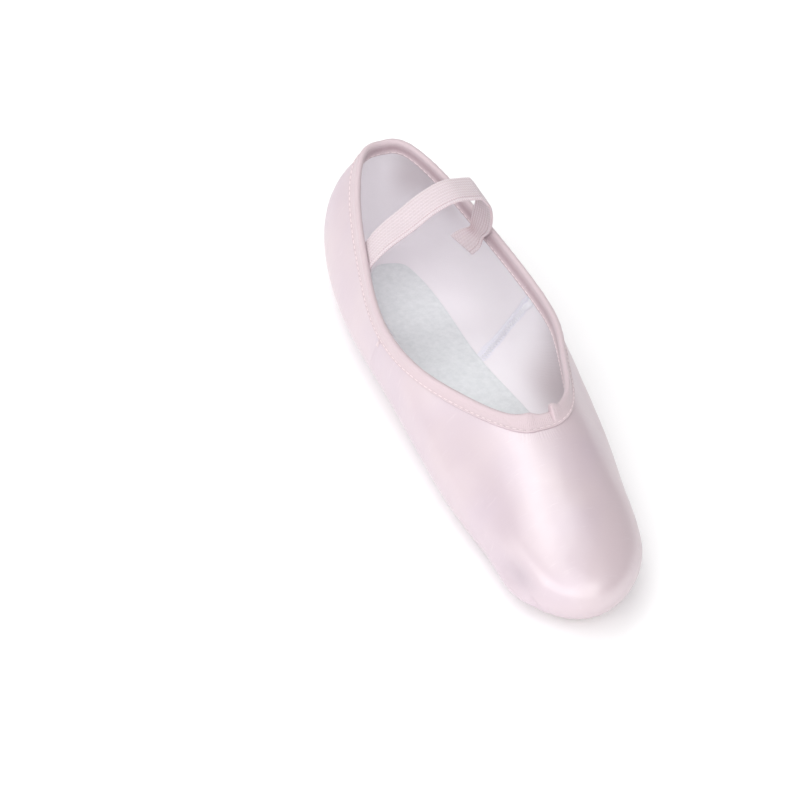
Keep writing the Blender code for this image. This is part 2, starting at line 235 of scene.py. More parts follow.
def smooth_loop(knots):
    """A closed cubic spline through the knots, as a function of t, which goes once round from 0 to 1."""
    knots = np.asarray(knots, float)
    count = len(knots)
    here = np.arange(count)
    after = (here + 1) % count
    system = 4.0 * np.eye(count)
    system[here, after] += 1.0
    system[after, here] += 1.0
    bend = np.linalg.solve(system, 6.0 * (np.roll(knots, -1, 0) - 2.0 * knots + np.roll(knots, 1, 0)))

    def at(t):
        where = (t % 1.0) * count
        first = np.floor(where).astype(int) % count
        second = (first + 1) % count
        near = (where - np.floor(where))[:, None]
        far = 1.0 - near
        return (
            far * knots[first]
            + near * knots[second]
            + ((far**3 - far) * bend[first] + (near**3 - near) * bend[second]) / 6.0
        )

    return at


def outline_loop(rows):
    """The closed line through a table's stations, by the medial side to the toe and back by the lateral."""
    medial = [(-row.medial, row.along, row.height) for row in rows[:-1]]
    lateral = [(row.lateral, row.along, row.height) for row in rows[:0:-1]]
    knots = np.array(medial + lateral)
    knots[:, 1] = HEEL_TO_TOE / 2 - knots[:, 1]
    return smooth_loop(knots)


def value_loop(rows, medial, lateral):
    """Columns of a table as a function of t, named for the medial side and for the lateral one."""
    there = [[getattr(row, name) for name in medial] for row in rows]
    back = [[getattr(row, name) for name in lateral] for row in rows[-2:0:-1]]
    return smooth_loop(there + back)


widest_at = outline_loop(WIDEST)
rim_at = outline_loop(RIM)
inset_at = value_loop(WIDEST, ("foot_in", "medial_sock"), ("foot_in", "lateral_sock"))
form_at = value_loop(RIM, ("medial_lean", "rise", "finish"), ("lateral_lean", "rise", "finish"))


def lift(y):
    """How far the sole rises above the floor."""
    along = (HEEL_TO_TOE / 2 - y) / HEEL_TO_TOE
    arch = np.clip((along - ARCH_FROM) / (ARCH_TO - ARCH_FROM), 0.0, 1.0)
    spring = np.clip((along - SPRING_FROM) / (1.0 - SPRING_FROM), 0.0, None)
    return ARCH_RISE * np.sin(math.pi * arch) ** 2 + TOE_SPRING * spring**2


def soft_floor(value, floor):
    """The value, eased so that it never passes below the floor."""
    return floor + SPINE_SOFTNESS * np.logaddexp(0.0, (value - floor) / SPINE_SOFTNESS)


def outward(t):
    """The level direction away from the shoe's middle line, at the widest line."""
    here = widest_at(t)
    middle = (here + widest_at(-t)) / 2
    reach = HEEL_TO_TOE / 2 - SPINE_END
    middle[:, 1] = -soft_floor(-soft_floor(middle[:, 1], -reach), -reach)
    return normalized((here - middle) * (1.0, 1.0, 0.0))


def bezier(corners, share):
    """Points along cubic curves, one for each column, at the shares of their way."""
    first, second, third, last = (corner[:, None, :] for corner in corners)
    near = np.atleast_2d(share)[..., None]
    far = 1.0 - near
    return far**3 * first + 3 * far**2 * near * second + 3 * far * near**2 * third + near**3 * last


def wall_curve(t):
    """The corners of the wall's curves, from the rim to the widest line, and their direction at the rim."""
    low = widest_at(t)
    low[:, 2] += lift(low[:, 1])
    top = rim_at(t)
    lean, rise, finish = form_at(t).T[..., None]
    chord = top - low
    length = np.linalg.norm(chord, axis=1, keepdims=True)
    level = chord * (1.0, 1.0, 0.0)
    run = np.linalg.norm(level, axis=1, keepdims=True)
    share = np.clip(run / LEAN_RUN, 0.0, 1.0)
    inwards = normalized(level / np.maximum(run, 1e-6) * share - outward(t) * (1.0 - share))
    arriving = UP * np.cos(np.radians(lean)) + inwards * np.sin(np.radians(lean))
    corners = (top, top - arriving * finish * length, low + UP * rise * length, low)
    return corners, arriving


def down_wall(t, down):
    """Points on the upper's outer face, so far down from the rim. Above the rim they run straight on."""
    corners, arriving = wall_curve(t)
    fine = bezier(corners, CURVE_SHARES)
    length = travelled(fine, 1)
    down = np.broadcast_to(down, (len(t), np.shape(down)[-1]))
    found = np.stack([interpolated(*column) for column in zip(down, length, fine)])
    above = np.clip(-down, 0.0, None)[..., None]
    return found + above * arriving[:, None, :]


def wall_length(t):
    """How far it is down the wall from the rim to the widest line."""
    return travelled(bezier(wall_curve(t)[0], CURVE_SHARES), 1)[:, -1]


def off_wall(t, down, out):
    """Points as far out from the upper's outer face as out says, and inside it where out is negative."""
    t = np.asarray(t, float)
    step = 0.5
    turn = 2e-4
    here = down_wall(t, down)
    below = down_wall(t, np.asarray(down) + step)
    fore = down_wall(t + turn, down)
    aft = down_wall(t - turn, down)
    return here + normalized(np.cross(below - here, fore - aft)) * np.atleast_2d(out)[..., None]


def flat_ring(t, inset, height):
    """The widest line moved in by the inset and laid along the sole, so far above the sole's underside."""
    ring = widest_at(t) - outward(t) * inset[:, None]
    ring[:, 2] = height + lift(ring[:, 1])
    return ring


# The middle of the widest line, which comes to lie over the origin
outline = widest_at(np.linspace(0.0, 1.0, 2001))
SHIFT = (outline.min(axis=0) + outline.max(axis=0)) / 2 * (1.0, 1.0, 0.0)


def place(across, along, height):
    """A point from its distances across from the middle, along from the heel and above the floor."""
    return np.array([across, HEEL_TO_TOE / 2 - along, height])


def ease(low, high, value):
    """Zero at low and beyond, one at high and beyond, and a soft step between. Low may be the greater."""
    share = np.clip((value - low) / (high - low), 0.0, 1.0)
    return share * share * (3.0 - 2.0 * share)


def hump(value, middle, width):
    """One at the middle, and fading out over the width to both sides."""
    return np.exp(-(((value - middle) / width) ** 2))


def round_about(t, middle):
    """How far t is from the middle, the shorter way round."""
    return (t - middle + 0.5) % 1.0 - 0.5


def rumple(points, slack):
    """Soft uneven waves of the slack's height, with its pitch from crest to crest."""
    chance = np.random.default_rng(slack.seed)
    ways = normalized(chance.normal(size=(slack.waves, 3)))
    phases = chance.uniform(0.0, TURN, slack.waves)
    waves = np.sin(points @ ways.T * (TURN / slack.pitch) + phases).sum(axis=-1)
    return slack.height * (waves / math.sqrt(slack.waves))


def uneven(t, count, sway, turns):
    """The phase of so many waves round the shoe, which crowd and spread by the sway in so many turns."""
    return TURN * count * t + sway * np.sin(TURN * turns * t)


def bead_relief(off, beads):
    """A seam's ridges and grooves as a height over the surface, so far to the side of it."""
    return sum(height * hump(off, beside, width) for height, beside, width in beads)


def from_heel(points):
    """How far along from the heel each point is."""
    return HEEL_TO_TOE / 2 - points[..., 1]


def past_seam(points, side):
    """How far in front of a side's slanting seam each point is, and far away on the other side."""
    far = 1000.0
    seam = SEAM_FOOT_ALONG[side] + SEAM_SLANT * (points[..., 2] - SEAM_FOOT_HEIGHT)
    outwards = 1.0 if side == "lateral" else -1.0
    away = np.where(points[..., 0] * outwards > 0.0, 0.0, far)
    return (from_heel(points) - seam) * math.cos(math.atan(SEAM_SLANT)) + away


def beside_line(points, line, across):
    """How far each point is to the toe's side of a line, where it is near it, and far away elsewhere."""
    far = 99.0
    margin = 5.0
    every = 3
    flat = points.reshape(-1, 3)
    found = np.full(len(flat), far)
    middle = line.mean(axis=0)
    reach = np.linalg.norm(line - middle, axis=1).max() + margin
    near = np.flatnonzero(np.linalg.norm(flat - middle, axis=1) < reach)
    offset = flat[near][:, None] - line[None, ::every]
    closest = np.linalg.norm(offset, axis=2).argmin(axis=1)
    beside = offset[np.arange(len(near)), closest]
    sign = np.sign((beside * across[::every][closest]).sum(axis=1))
    found[near] = np.linalg.norm(beside, axis=1) * np.where(sign == 0.0, 1.0, sign)
    return found.reshape(points.shape[:-1])


def crowded(count, crowds):
    """Values of t once round, closer together at each crowd, which is a middle, a width and a strength."""
    fine = np.linspace(0.0, 1.0, 20001)
    density = np.ones_like(fine)
    for middle, width, strength in crowds:
        density += strength * hump(round_about(fine, middle), 0.0, width)
    total = np.concatenate([[0.0], np.cumsum((density[1:] + density[:-1]) / 2)])
    return np.interp(np.arange(count) / count, total / total[-1], fine)


def column_at(side, along):
    """The value of t on one side where the rim passes so far from the heel."""
    t = np.linspace(0.0, 0.5, 5001)
    if side == "lateral":
        t = 1.0 - t
    return t[np.argmin(abs(from_heel(rim_at(t)) - along))]


SEAM_AT = {side: column_at(side, along) for side, along in SIDE_SEAM_ALONG.items()}


# Meshes and their cloths


def new_object(name, data):
    made = bpy.data.objects.new(name, data)
    bpy.context.scene.collection.objects.link(made)
    return made


def new_piece(name, points, faces, material, uvs=None, stands_for=(), shade=None):
    """A mesh object that rides with the shoe. Points are in millimetres, uvs has a pair for each face corner,
    and shade a number for each point."""
    points = (points.reshape(-1, 3) - SHIFT) * MM
    mesh = bpy.data.meshes.new(name)
    mesh.from_pydata(points.tolist(), [], faces.tolist())
    if uvs is not None:
        layer = mesh.uv_layers.new(name="cloth")
        layer.data.foreach_set("uv", uvs.ravel())
    if shade is not None:
        values = mesh.attributes.new("shade", "FLOAT", "POINT")
        values.data.foreach_set("value", shade.ravel())
    mesh.shade_smooth()
    mesh.materials.append(material)
    piece = new_object(name, mesh)
    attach(piece, "root")
    if stands_for:
        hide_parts(*stands_for)


def grid_corners(columns, rows):
    """The column and the row of the four corners of each of a grid's faces."""
    column, row = np.meshgrid(np.arange(columns), np.arange(rows), indexing="ij")
    corners = ((column, column, column + 1, column + 1), (row, row + 1, row + 1, row))
    return (np.stack(places, axis=-1).reshape(-1, 4) for places in corners)


def sheet_faces(columns, rows, around=False, about=False):
    """Quads of a grid that is stored column by column, closed around its columns or about its rows."""
    column, row = grid_corners(columns - (not around), rows - (not about))
    return column % columns * rows + row % rows


def sheet_uvs(u, v):
    """The grid's face corners in the cloth's own lengths. u and v have one more entry where it is closed."""
    column, row = grid_corners(len(u) - 1, len(v) - 1)
    return np.stack([u[column], v[row]], axis=-1).reshape(-1, 2)


def grid_normals(points, around):
    """The outward direction at each point of a grid that runs down from the rim in its second axis."""
    if around:
        along = np.roll(points, -1, axis=0) - np.roll(points, 1, axis=0)
    else:
        along = np.gradient(points, axis=0)
    down = np.gradient(points, axis=1)
    return normalized(np.cross(down, along))


def new_threads(name, ways, away, radius, material):
    """Threads as one mesh. Each way is a row of points with the directions away from the cloth, and its
    thread thins at both ends."""
    steps = ways.shape[1]
    run = normalized(np.gradient(ways, axis=1))
    side = normalized(np.cross(run, away))
    up = np.cross(side, run)
    thin = np.sqrt(np.clip(1.0 - np.linspace(-1.0, 1.0, steps) ** 12, 0.05, 1.0))[:, None, None]
    turn = TURN * np.arange(THREAD_SIDES) / THREAD_SIDES
    round_it = np.cos(turn)[:, None] * side[:, :, None] + np.sin(turn)[:, None] * up[:, :, None]
    points = ways[:, :, None] + radius * thin * round_it
    first = np.arange(len(ways))[:, None, None] * steps * THREAD_SIDES
    faces = sheet_faces(steps, THREAD_SIDES, about=True)[None, :, ::-1] + first
    new_piece(name, points, faces.reshape(-1, 4), material)


class Cloth:
    """A material built from nodes, with short names for the nodes that the cloths share."""

    def __init__(self, name, colour, roughness, **inputs):
        self.material = bpy.data.materials.new(name)
        self.material.use_nodes = True
        self.material.diffuse_color = (*colour, 1.0)
        self.tree = self.material.node_tree
        self.shader = self.tree.nodes["Principled BSDF"]
        self.fill(self.shader, Base_Color=colour, Roughness=roughness, **inputs)
        self.height = None

    def node(self, kind, **settings):
        made = self.tree.nodes.new("ShaderNode" + kind)
        for label, value in settings.items():
            setattr(made, label, value)
        return made

    def give(self, socket, value):
        """Sets a node's input to what another node gives, to a colour or to a number."""
        if isinstance(value, bpy.types.NodeSocket):
            self.tree.links.new(value, socket)
        else:
            socket.default_value = (*value, 1.0) if socket.type == "RGBA" else value

    def fill(self, node, **inputs):
        for label, value in inputs.items():
            self.give(node.inputs[label.replace("_", " ")], value)

    def shade(self):
        """The number that the mesh carries for each of its points."""
        return self.node("Attribute", attribute_name="shade").outputs["Fac"]

    def coordinates(self, kind, scale):
        """Object or UV coordinates, scaled by one number or by one for each axis."""
        made = self.node("Mapping")
        source = self.node("TexCoord").outputs[kind]
        self.fill(made, Vector=source, Scale=scale if isinstance(scale, tuple) else (scale,) * 3)
        return made.outputs["Vector"]

    def noise(self, where, scale, detail=2.0, roughness=0.5):
        made = self.node("TexNoise")
        self.fill(made, Vector=where, Scale=scale, Detail=detail, Roughness=roughness)
        return made.outputs["Fac"]

    def grain(self, scale, detail, roughness=0.5):
        """Noise in the shoe's own coordinates."""
        return self.noise(self.coordinates("Object", scale), 1.0, detail, roughness)

    def wave(self, where, direction, scale, distortion):
        made = self.node("TexWave", bands_direction=direction)
        self.fill(made, Vector=where, Scale=scale, Distortion=distortion, Detail=0.0)
        return made.outputs["Fac"]

    def math(self, operation, *values):
        made = self.node("Math", operation=operation)
        for socket, value in zip(made.inputs, values):
            self.give(socket, value)
        return made.outputs[0]

    def ranged(self, value, low, high, to_low=0.0, to_high=1.0):
        made = self.node("MapRange")
        self.fill(made, Value=value, From_Min=low, From_Max=high, To_Min=to_low, To_Max=to_high)
        return made.outputs["Result"]

    def mix(self, share, *colours):
        """A colour between two, by the share of the second."""
        made = self.node("Mix", data_type="RGBA")
        self.fill(made, Factor=share)
        for socket, colour in zip(made.inputs[6:8], colours):
            self.give(socket, colour)
        return made.outputs[2]

    def bump(self, height, distance, strength):
        """Adds a relief to those before it. distance is in millimetres."""
        made = self.node("Bump")
        self.fill(made, Height=height, Distance=distance * MM, Strength=strength)
        if self.height:
            self.fill(made, Normal=self.height)
        self.height = made.outputs["Normal"]
        self.fill(self.shader, Normal=self.height)

    def colour(self, value):
        self.fill(self.shader, Base_Color=value)


def satin_cloth():
    """Pale pink satin: a soft broad gloss, with fine weft threads across the shoe and a few thick ones."""
    cool = (0.53, 0.42, 0.48)
    warm = (0.57, 0.455, 0.49)
    thick_thread = (0.60, 0.495, 0.535)
    # The colour of the painted shade in the dent
    painted_shade = (0.37, 0.285, 0.34)
    gloss = {"IOR": 2.2, "Specular_IOR_Level": 0.74, "Sheen_Weight": 0.1, "Sheen_Roughness": 0.4}
    cloth = Cloth("satin", (0.55, 0.44, 0.485), 0.43, **gloss)
    slubs = cloth.grain((130.0, 1000.0, 130.0), 3.0, 0.6)
    weave = cloth.grain((400.0, 3200.0, 400.0), 1.0)
    clouds = cloth.ranged(cloth.grain(30.0, 2.0), 0.35, 0.65)
    ground = cloth.mix(clouds, cool, warm)
    streaked = cloth.mix(cloth.ranged(slubs, 0.62, 0.78), ground, thick_thread)
    cloth.colour(cloth.mix(cloth.shade(), streaked, painted_shade))
    cloth.fill(cloth.shader, Roughness=cloth.ranged(slubs, 0.3, 0.7, 0.42, 0.35))
    cloth.bump(slubs, 0.05, 0.5)
    cloth.bump(weave, 0.02, 0.4)
    return cloth.material


def lining_cloth():
    """Cotton twill in a cool white: whiter where the shade is one, over the overcast seams, darkened by
    painted shade where it is minus one, and darkened and warmed by painted shade deep in the toe."""
    toe_shade = (0.60, 0.50, 0.50)
    overcast = (0.895, 0.885, 0.96)
    painted_shade = (0.50, 0.42, 0.44)
    cloth = Cloth("lining_cotton", (0.92, 0.90, 0.935), 0.95, Sheen_Weight=0.1)
    twill = cloth.wave(cloth.coordinates("Object", 1000.0), "DIAGONAL", 0.35, 1.0)
    plain = cloth.mix(cloth.grain(40.0, 2.0), (0.93, 0.89, 0.93), (0.96, 0.93, 0.96))
    parts = cloth.node("SeparateXYZ")
    cloth.fill(parts, Vector=cloth.coordinates("Object", 1.0))
    # Painted shade darkens and warms the lining deep in the toe, where light hardly reaches
    deep = cloth.mix(cloth.ranged(parts.outputs["Y"], *LINING_TOE_SHADE), plain, toe_shade)
    seamed = cloth.mix(cloth.ranged(cloth.shade(), 0.0, 1.0), deep, overcast)
    cloth.colour(cloth.mix(cloth.ranged(cloth.shade(), -1.0, 0.0, 1.0, 0.0), seamed, painted_shade))
    cloth.bump(twill, 0.05, 0.3)
    cloth.bump(cloth.grain(1800.0, 2.0), 0.08, 0.6)
    return cloth.material


def tape_cloth():
    """Ribbed pink tape, whose fine ribs run across it, with deeper pink painted shade in its channels."""
    # The colour of the painted shade in the channels
    channel_shade = (0.44, 0.315, 0.35)
    cloth = Cloth("binding_tape", (0.59, 0.485, 0.515), 0.55, Specular_IOR_Level=0.5, Sheen_Weight=0.3)
    where = cloth.coordinates("UV", 1.0)
    grain = cloth.noise(where, 2.4)
    plain = cloth.mix(grain, (0.565, 0.455, 0.485), (0.62, 0.51, 0.54))
    cloth.colour(cloth.mix(cloth.shade(), plain, channel_shade))
    cloth.bump(cloth.wave(where, "X", 0.46, 0.6), 0.10, 0.5)
    cloth.bump(grain, 0.12, 0.5)
    return cloth.material


def elastic_cloth():
    """Knitted elastic: cords lengthwise, with the threads that wrap them."""
    # The colour of the painted shade in the grooves between the cords and at the pinch
    groove_shade = (0.47, 0.32, 0.35)
    cloth = Cloth("elastic", (0.67, 0.58, 0.61), 0.75, Specular_IOR_Level=0.3, Sheen_Weight=0.3)
    where = cloth.coordinates("UV", 1.0)
    wraps = cloth.math("SUBTRACT", cloth.wave(where, "X", 0.35, 0.5), 0.5)
    rows = cloth.math("SUBTRACT", cloth.wave(where, "Y", 0.35, 0.3), 0.5)
    dots = cloth.math("MULTIPLY", wraps, rows)
    grain = cloth.noise(where, 2.0)
    flecks = cloth.ranged(cloth.math("ADD", dots, cloth.math("MULTIPLY", grain, 0.3)), -0.05, 0.35)
    plain = cloth.mix(flecks, (0.585, 0.50, 0.53), (0.75, 0.66, 0.69))
    cloth.colour(cloth.mix(cloth.shade(), plain, groove_shade))
    cloth.bump(dots, 0.30, 0.8)
    cloth.bump(grain, 0.10, 0.6)
    return cloth.material


def felt_cloth():
    """Mottled grey felt."""
    cloth = Cloth("felt", (0.79, 0.82, 0.84), 0.95, Sheen_Weight=0.2)
    mottle = cloth.grain(420.0, 4.0, 0.7)
    cloth.colour(cloth.mix(cloth.ranged(mottle, 0.3, 0.7), (0.745, 0.775, 0.79), (0.845, 0.87, 0.885)))
    cloth.bump(mottle, 0.16, 0.5)
    cloth.bump(cloth.grain(1400.0, 3.0, 0.7), 0.10, 0.6)
    return cloth.material


def suede_cloth():
    """Napped suede, a little darker where it is rubbed."""
    cloth = Cloth("suede", (0.55, 0.47, 0.46), 0.95, Sheen_Weight=0.35, Sheen_Roughness=0.6)
    rubbed = cloth.ranged(cloth.grain(45.0, 3.0, 0.6), 0.3, 0.7)
    cloth.colour(cloth.mix(rubbed, (0.49, 0.41, 0.40), (0.60, 0.52, 0.50)))
    cloth.bump(cloth.grain(900.0, 4.0, 0.7), 0.2, 0.7)
    return cloth.material


def thread_cloth(name, dark, light):
    """Sewing thread, with its twist."""
    cloth = Cloth(name, light, 0.6, Sheen_Weight=0.2)
    twist = cloth.grain(2500.0, 1.0)
    cloth.colour(cloth.mix(twist, dark, light))
    cloth.bump(twist, 0.05, 0.6)
    return cloth.material


# The upper


def upper_sheet(t, sheet):
    """The outer face down the wall, round under it and along the margin, and each row's place v: 1 is the
    widest line, 2 is where it reaches the sole and 3 is the margin's edge."""
    length = wall_length(t)[:, None]
    share = np.linspace(0.0, 1.0, sheet.wall_rows) ** 1.25
    wall = down_wall(t, sheet.start + share * (length - sheet.start))
    foot_in, insole_in = inset_at(t).T
    low = wall[:, -1]
    foot = flat_ring(t, foot_in, OUTSOLE + GAP)
    drop = low[:, 2:] - foot[:, 2:]
    full = foot + outward(t) * foot_in[:, None] * FULL_IN
    under = np.linspace(0.0, 1.0, sheet.under_rows + 1)[1:]
    bottom = bezier((low, low - UP * drop * FULL_DOWN, full, foot), under)
    inward = np.linspace(0.0, 1.0, sheet.margin_rows + 1)[1:]
    edge = insole_in + MARGIN_LAP
    margin = [flat_ring(t, foot_in + step * (edge - foot_in), OUTSOLE + GAP) for step in inward]
    points = np.concatenate([wall, bottom, np.stack(margin, axis=1)], axis=1)
    return points, np.concatenate([share, 1.0 + under, 2.0 + inward])


def crease_share(points, crease):
    """How near the points are to a crease: one at its middle, less over its width and towards its ends."""
    start = place(*crease[:3])
    run = place(*crease[3:6]) - start
    share = ((points - start) @ run) / (run @ run)
    away = np.linalg.norm(points - start - share[..., None] * run, axis=2)
    return np.exp(-((away / crease.width) ** 2) - (2.0 * share - 1.0) ** 2)


def crease_relief(points):
    """The creases of the table, as a height over the surface."""
    return sum(crease.rise * crease_share(points, crease) for crease in CREASES)


def pleat_relief(t, v, pleats):
    """Uneven pleats under an end of the shoe, deepest at the sole."""
    off = round_about(t, pleats.middle)[:, None]
    phase = TURN * pleats.count * (off + 0.0035 * np.sin(TURN * 9 * off))
    folds = 0.5 + 0.5 * np.cos(phase)
    deep = 0.75 + 0.25 * np.sin(TURN * 13.7 * off + 1.0)
    ends = ease(pleats.reach, pleats.reach * 0.7, abs(off))
    return -pleats.depth * folds**1.5 * deep * ends * ease(pleats.first, 1.95, v)


def make_upper():
    # The columns lie closer at the seams, both ends and the dent: each crowd's middle, width and strength
    seams = [(middle - 0.012, 0.022, 2.5) for middle in (SEAM_AT["medial"], SEAM_AT["lateral"] + 0.024)]
    t = crowded(SATIN_SHEET.columns, seams + [(0.0, 0.004, 3.0), (0.5, 0.12, 0.8), (0.43, 0.02, 1.2)])
    points, v = upper_sheet(t, SATIN_SHEET)
    down = SATIN_SHEET.start + travelled(points, 1)
    normal = grid_normals(points, around=True)
    relief = crease_relief(points)
    for pleats in PLEATS:
        relief += pleat_relief(t, v, pleats)
    # Ripples where the binding gathers the vamp's edge
    gather = 0.025 * np.cos(uneven(t, 150, 2.5, 21)) * hump(round_about(t, 0.5), 0.0, 0.10)
    relief += gather[:, None] * hump(down, 5.0, 3.5)
    # The seams down both sides and down the back stop where the pleats begin
    way_round = 560.0
    behind = way_round * round_about(t, 0.0)[:, None]
    for off in (past_seam(points, "medial"), past_seam(points, "lateral"), behind):
        relief += bead_relief(off, SEAM_BEADS) * ease(1.9, 1.6, v)
    loose = ease(0.1, 0.5, v) * ease(2.0, 1.5, v)
    forefoot = ease(100.0, 150.0, from_heel(points))
    slack = rumple(points, FOREFOOT_SLACK) + rumple(points, FINE_SLACK)
    relief += (rumple(points, SATIN_SLACK) + slack * forefoot) * loose
    relief *= ease(2.3, 2.0, v)
    outer = points + normal * relief[..., None]
    inner_top = outer[:, :1] - normal[:, :1] * SATIN_THICKNESS
    inner_low = outer[:, -1:] + UP * SATIN_THICKNESS
    rings = np.concatenate([inner_top, outer, inner_low], axis=1)
    faces = sheet_faces(len(t), rings.shape[1], around=True)
    # Painted shade darkens the satin in the dent, where its hollow lies in shade
    painted_shade = DENT_SHADE * crease_share(rings, DENT)
    new_piece("upper_satin", rings, faces, satin_cloth(), None, ("upper",), painted_shade)


def make_lining():
    seams = [(SEAM_AT["lateral"] + 0.025, 0.03, 3.0), (SEAM_AT["medial"] - 0.012, 0.022, 2.0)]
    t = crowded(LINING_SHEET.columns, seams)
    points, v = upper_sheet(t, LINING_SHEET)
    normal = grid_normals(points, around=True)
    depth = rumple(points, LINING_SLACK) + np.minimum(crease_relief(points), 0.0) - LINING_DEPTH
    seam = np.zeros_like(depth)
    for side in SEAM_AT:
        off = beside_line(points, *seam_line(side, start=3.0)[1:3])
        band = ease(-0.25, 0.15, off + OVERCAST_HALF) * ease(0.25, -0.15, off - OVERCAST_HALF)
        seam += band
        depth -= OVERCAST_RISE * band + bead_relief(off, OVERCAST_BEADS)
    # Painted shade in the throat corner and beside the heel goes into the same numbers, below zero
    painted_shade = np.zeros_like(depth)
    for strength, across, along, height in PAINTED_SHADE_PATCHES:
        here = ease(*across, points[..., 0]) * ease(*along, from_heel(points)) * ease(*height, points[..., 2])
        painted_shade += strength * here
    seam -= LINING_SHADE * painted_shade * (1.0 - seam)
    inner = points + normal * depth[..., None]
    faces = sheet_faces(len(t), inner.shape[1], around=True)[:, ::-1]
    new_piece("lining", inner, faces, lining_cloth(), stands_for=("upper",), shade=seam)


def seam_line(side, start):
    """Points down a side seam inside as far as the sole, with the directions across it, towards the toe, and
    out of the shoe."""
    reach = 0.07
    columns = 201
    t = np.linspace(SEAM_AT[side] - reach, SEAM_AT[side] + reach, columns)
    points, v = upper_sheet(t, LINING_SHEET._replace(start=start))
    normal = grid_normals(points, around=False)
    if side == "lateral":
        column = np.interp(np.interp(v, INNER_SEAM_DOWN, INNER_SEAM_ROUND), t, np.arange(columns))
    else:
        column = np.array([np.interp(0.0, row, np.arange(columns)) for row in past_seam(points, side).T])
    # The line ends just before the margin's edge
    rows = np.flatnonzero(v < 2.9)
    low = np.floor(column[rows]).astype(int)
    near = (column[rows] - low)[:, None]
    line, out = (grid[low, rows] * (1.0 - near) + grid[low + 1, rows] * near for grid in (points, normal))
    length = travelled(line, 0)
    even = np.arange(0.0, length[-1], 1.0 / SEAM_POINTS_PER_MM)
    # The way and its directions are smoothed, so that its kinks at the table's heights don't show
    beyond = 2 * SEAM_POINTS_PER_MM
    window = np.hanning(2 * beyond + 1)
    window /= window.sum()
    smooth = []
    for values in (line, out):
        values = interpolated(even, length, values)
        padded = np.pad(values, ((beyond, beyond), (0, 0)), "reflect", reflect_type="odd")
        smooth.append(np.stack([np.convolve(padded[:, axis], window, "valid") for axis in range(3)], axis=1))
    line, out = smooth
    out = normalized(out)
    across = normalized(np.cross(out, np.gradient(line, axis=0)))
    across *= np.sign(-across[:, 1].mean())
    return even, line, across, out


def make_overcasting():
    """The side seams' threads inside: a row of stitches along the folded edge, and beside it a zigzag thread
    over the cut edges.
    """
    thread = thread_cloth("white_thread", (0.93, 0.92, 0.985), (0.98, 0.975, 1.0))
    face = LINING_DEPTH + OVERCAST_RISE
    for side in SEAM_AT:
        even, line, across, out = seam_line(side, start=4.5)
        phase = TURN * even / OVERCAST_PITCH
        sway = 0.75 + 1.15 * np.sin(phase)
        height = face + 0.16 + 0.08 * np.cos(2 * phase)
        zigzag = line + across * sway[:, None] - out * height[:, None]
        new_threads("overcasting_" + side, zigzag[None], -out[None], OVERCAST_THREAD, thread)
        height = face + 0.12 * abs(np.sin(math.pi * even / SEAM_STITCH_PITCH))
        stitches = line - across * 1.5 - out * height[:, None]
        new_threads("seam_stitches_" + side, stitches[None], -out[None], STITCH_THREAD, thread)


# The binding. Its section runs from the outer leaf's edge over the fold to the inner leaf's edge and back:
# how far down from the rim, and how far out from the wall on the medial and on the lateral side.
BINDING_SECTION = [
    (4.70, 0.02, 0.02),
    (4.85, 0.30, 0.30),
    (4.65, 0.62, 0.62),
    (4.20, 0.62, 0.62),
    (3.85, 0.36, 0.36),
    (3.20, 0.34, 0.36),
    (2.20, 0.36, 0.50),
    (1.30, 0.36, 0.75),
    (0.55, 0.48, 1.10),
    (-0.30, 0.50, 1.25),
    (-1.05, 0.10, 0.90),
    (-1.45, -0.75, 0.05),
    (-1.10, -1.65, -0.80),
    (-0.35, -2.10, -1.25),
    (0.50, -2.05, -1.45),
    (1.30, -1.90, -1.85),
    (2.10, -2.00, -2.05),
    (2.90, -2.30, -2.45),
    (3.70, -2.55, -2.95),
    (4.80, -2.65, -3.20),
    (5.60, -2.60, -3.30),
    (5.80, -2.35, -3.05),
    (5.50, -2.05, -2.70),
    (3.20, -1.70, -1.85),
    (0.00, -1.00, -1.00),
    (0.00, 0.00, 0.00),
    (3.00, 0.02, 0.02),
]
OUTER_ROWS = 11
LEAF_SHORTER = 1.2
OUTER_STITCHES = (3.95, 0.38, 0.38)
INNER_STITCHES = (3.90, -2.59, -3.02)


def lateral_share(t):
    """How far the binding has the lateral side's section: all of it there and round the heel."""
    t = t % 1.0
    return 1.0 - ease(0.03, 0.10, t) * ease(0.54, 0.44, t)


def leaf_down(down, share):
    """The inner leaf's rows down the wall. It is shorter on the lateral side and round the heel."""
    return down - LEAF_SHORTER * share * ease(3.0, 5.2, down)


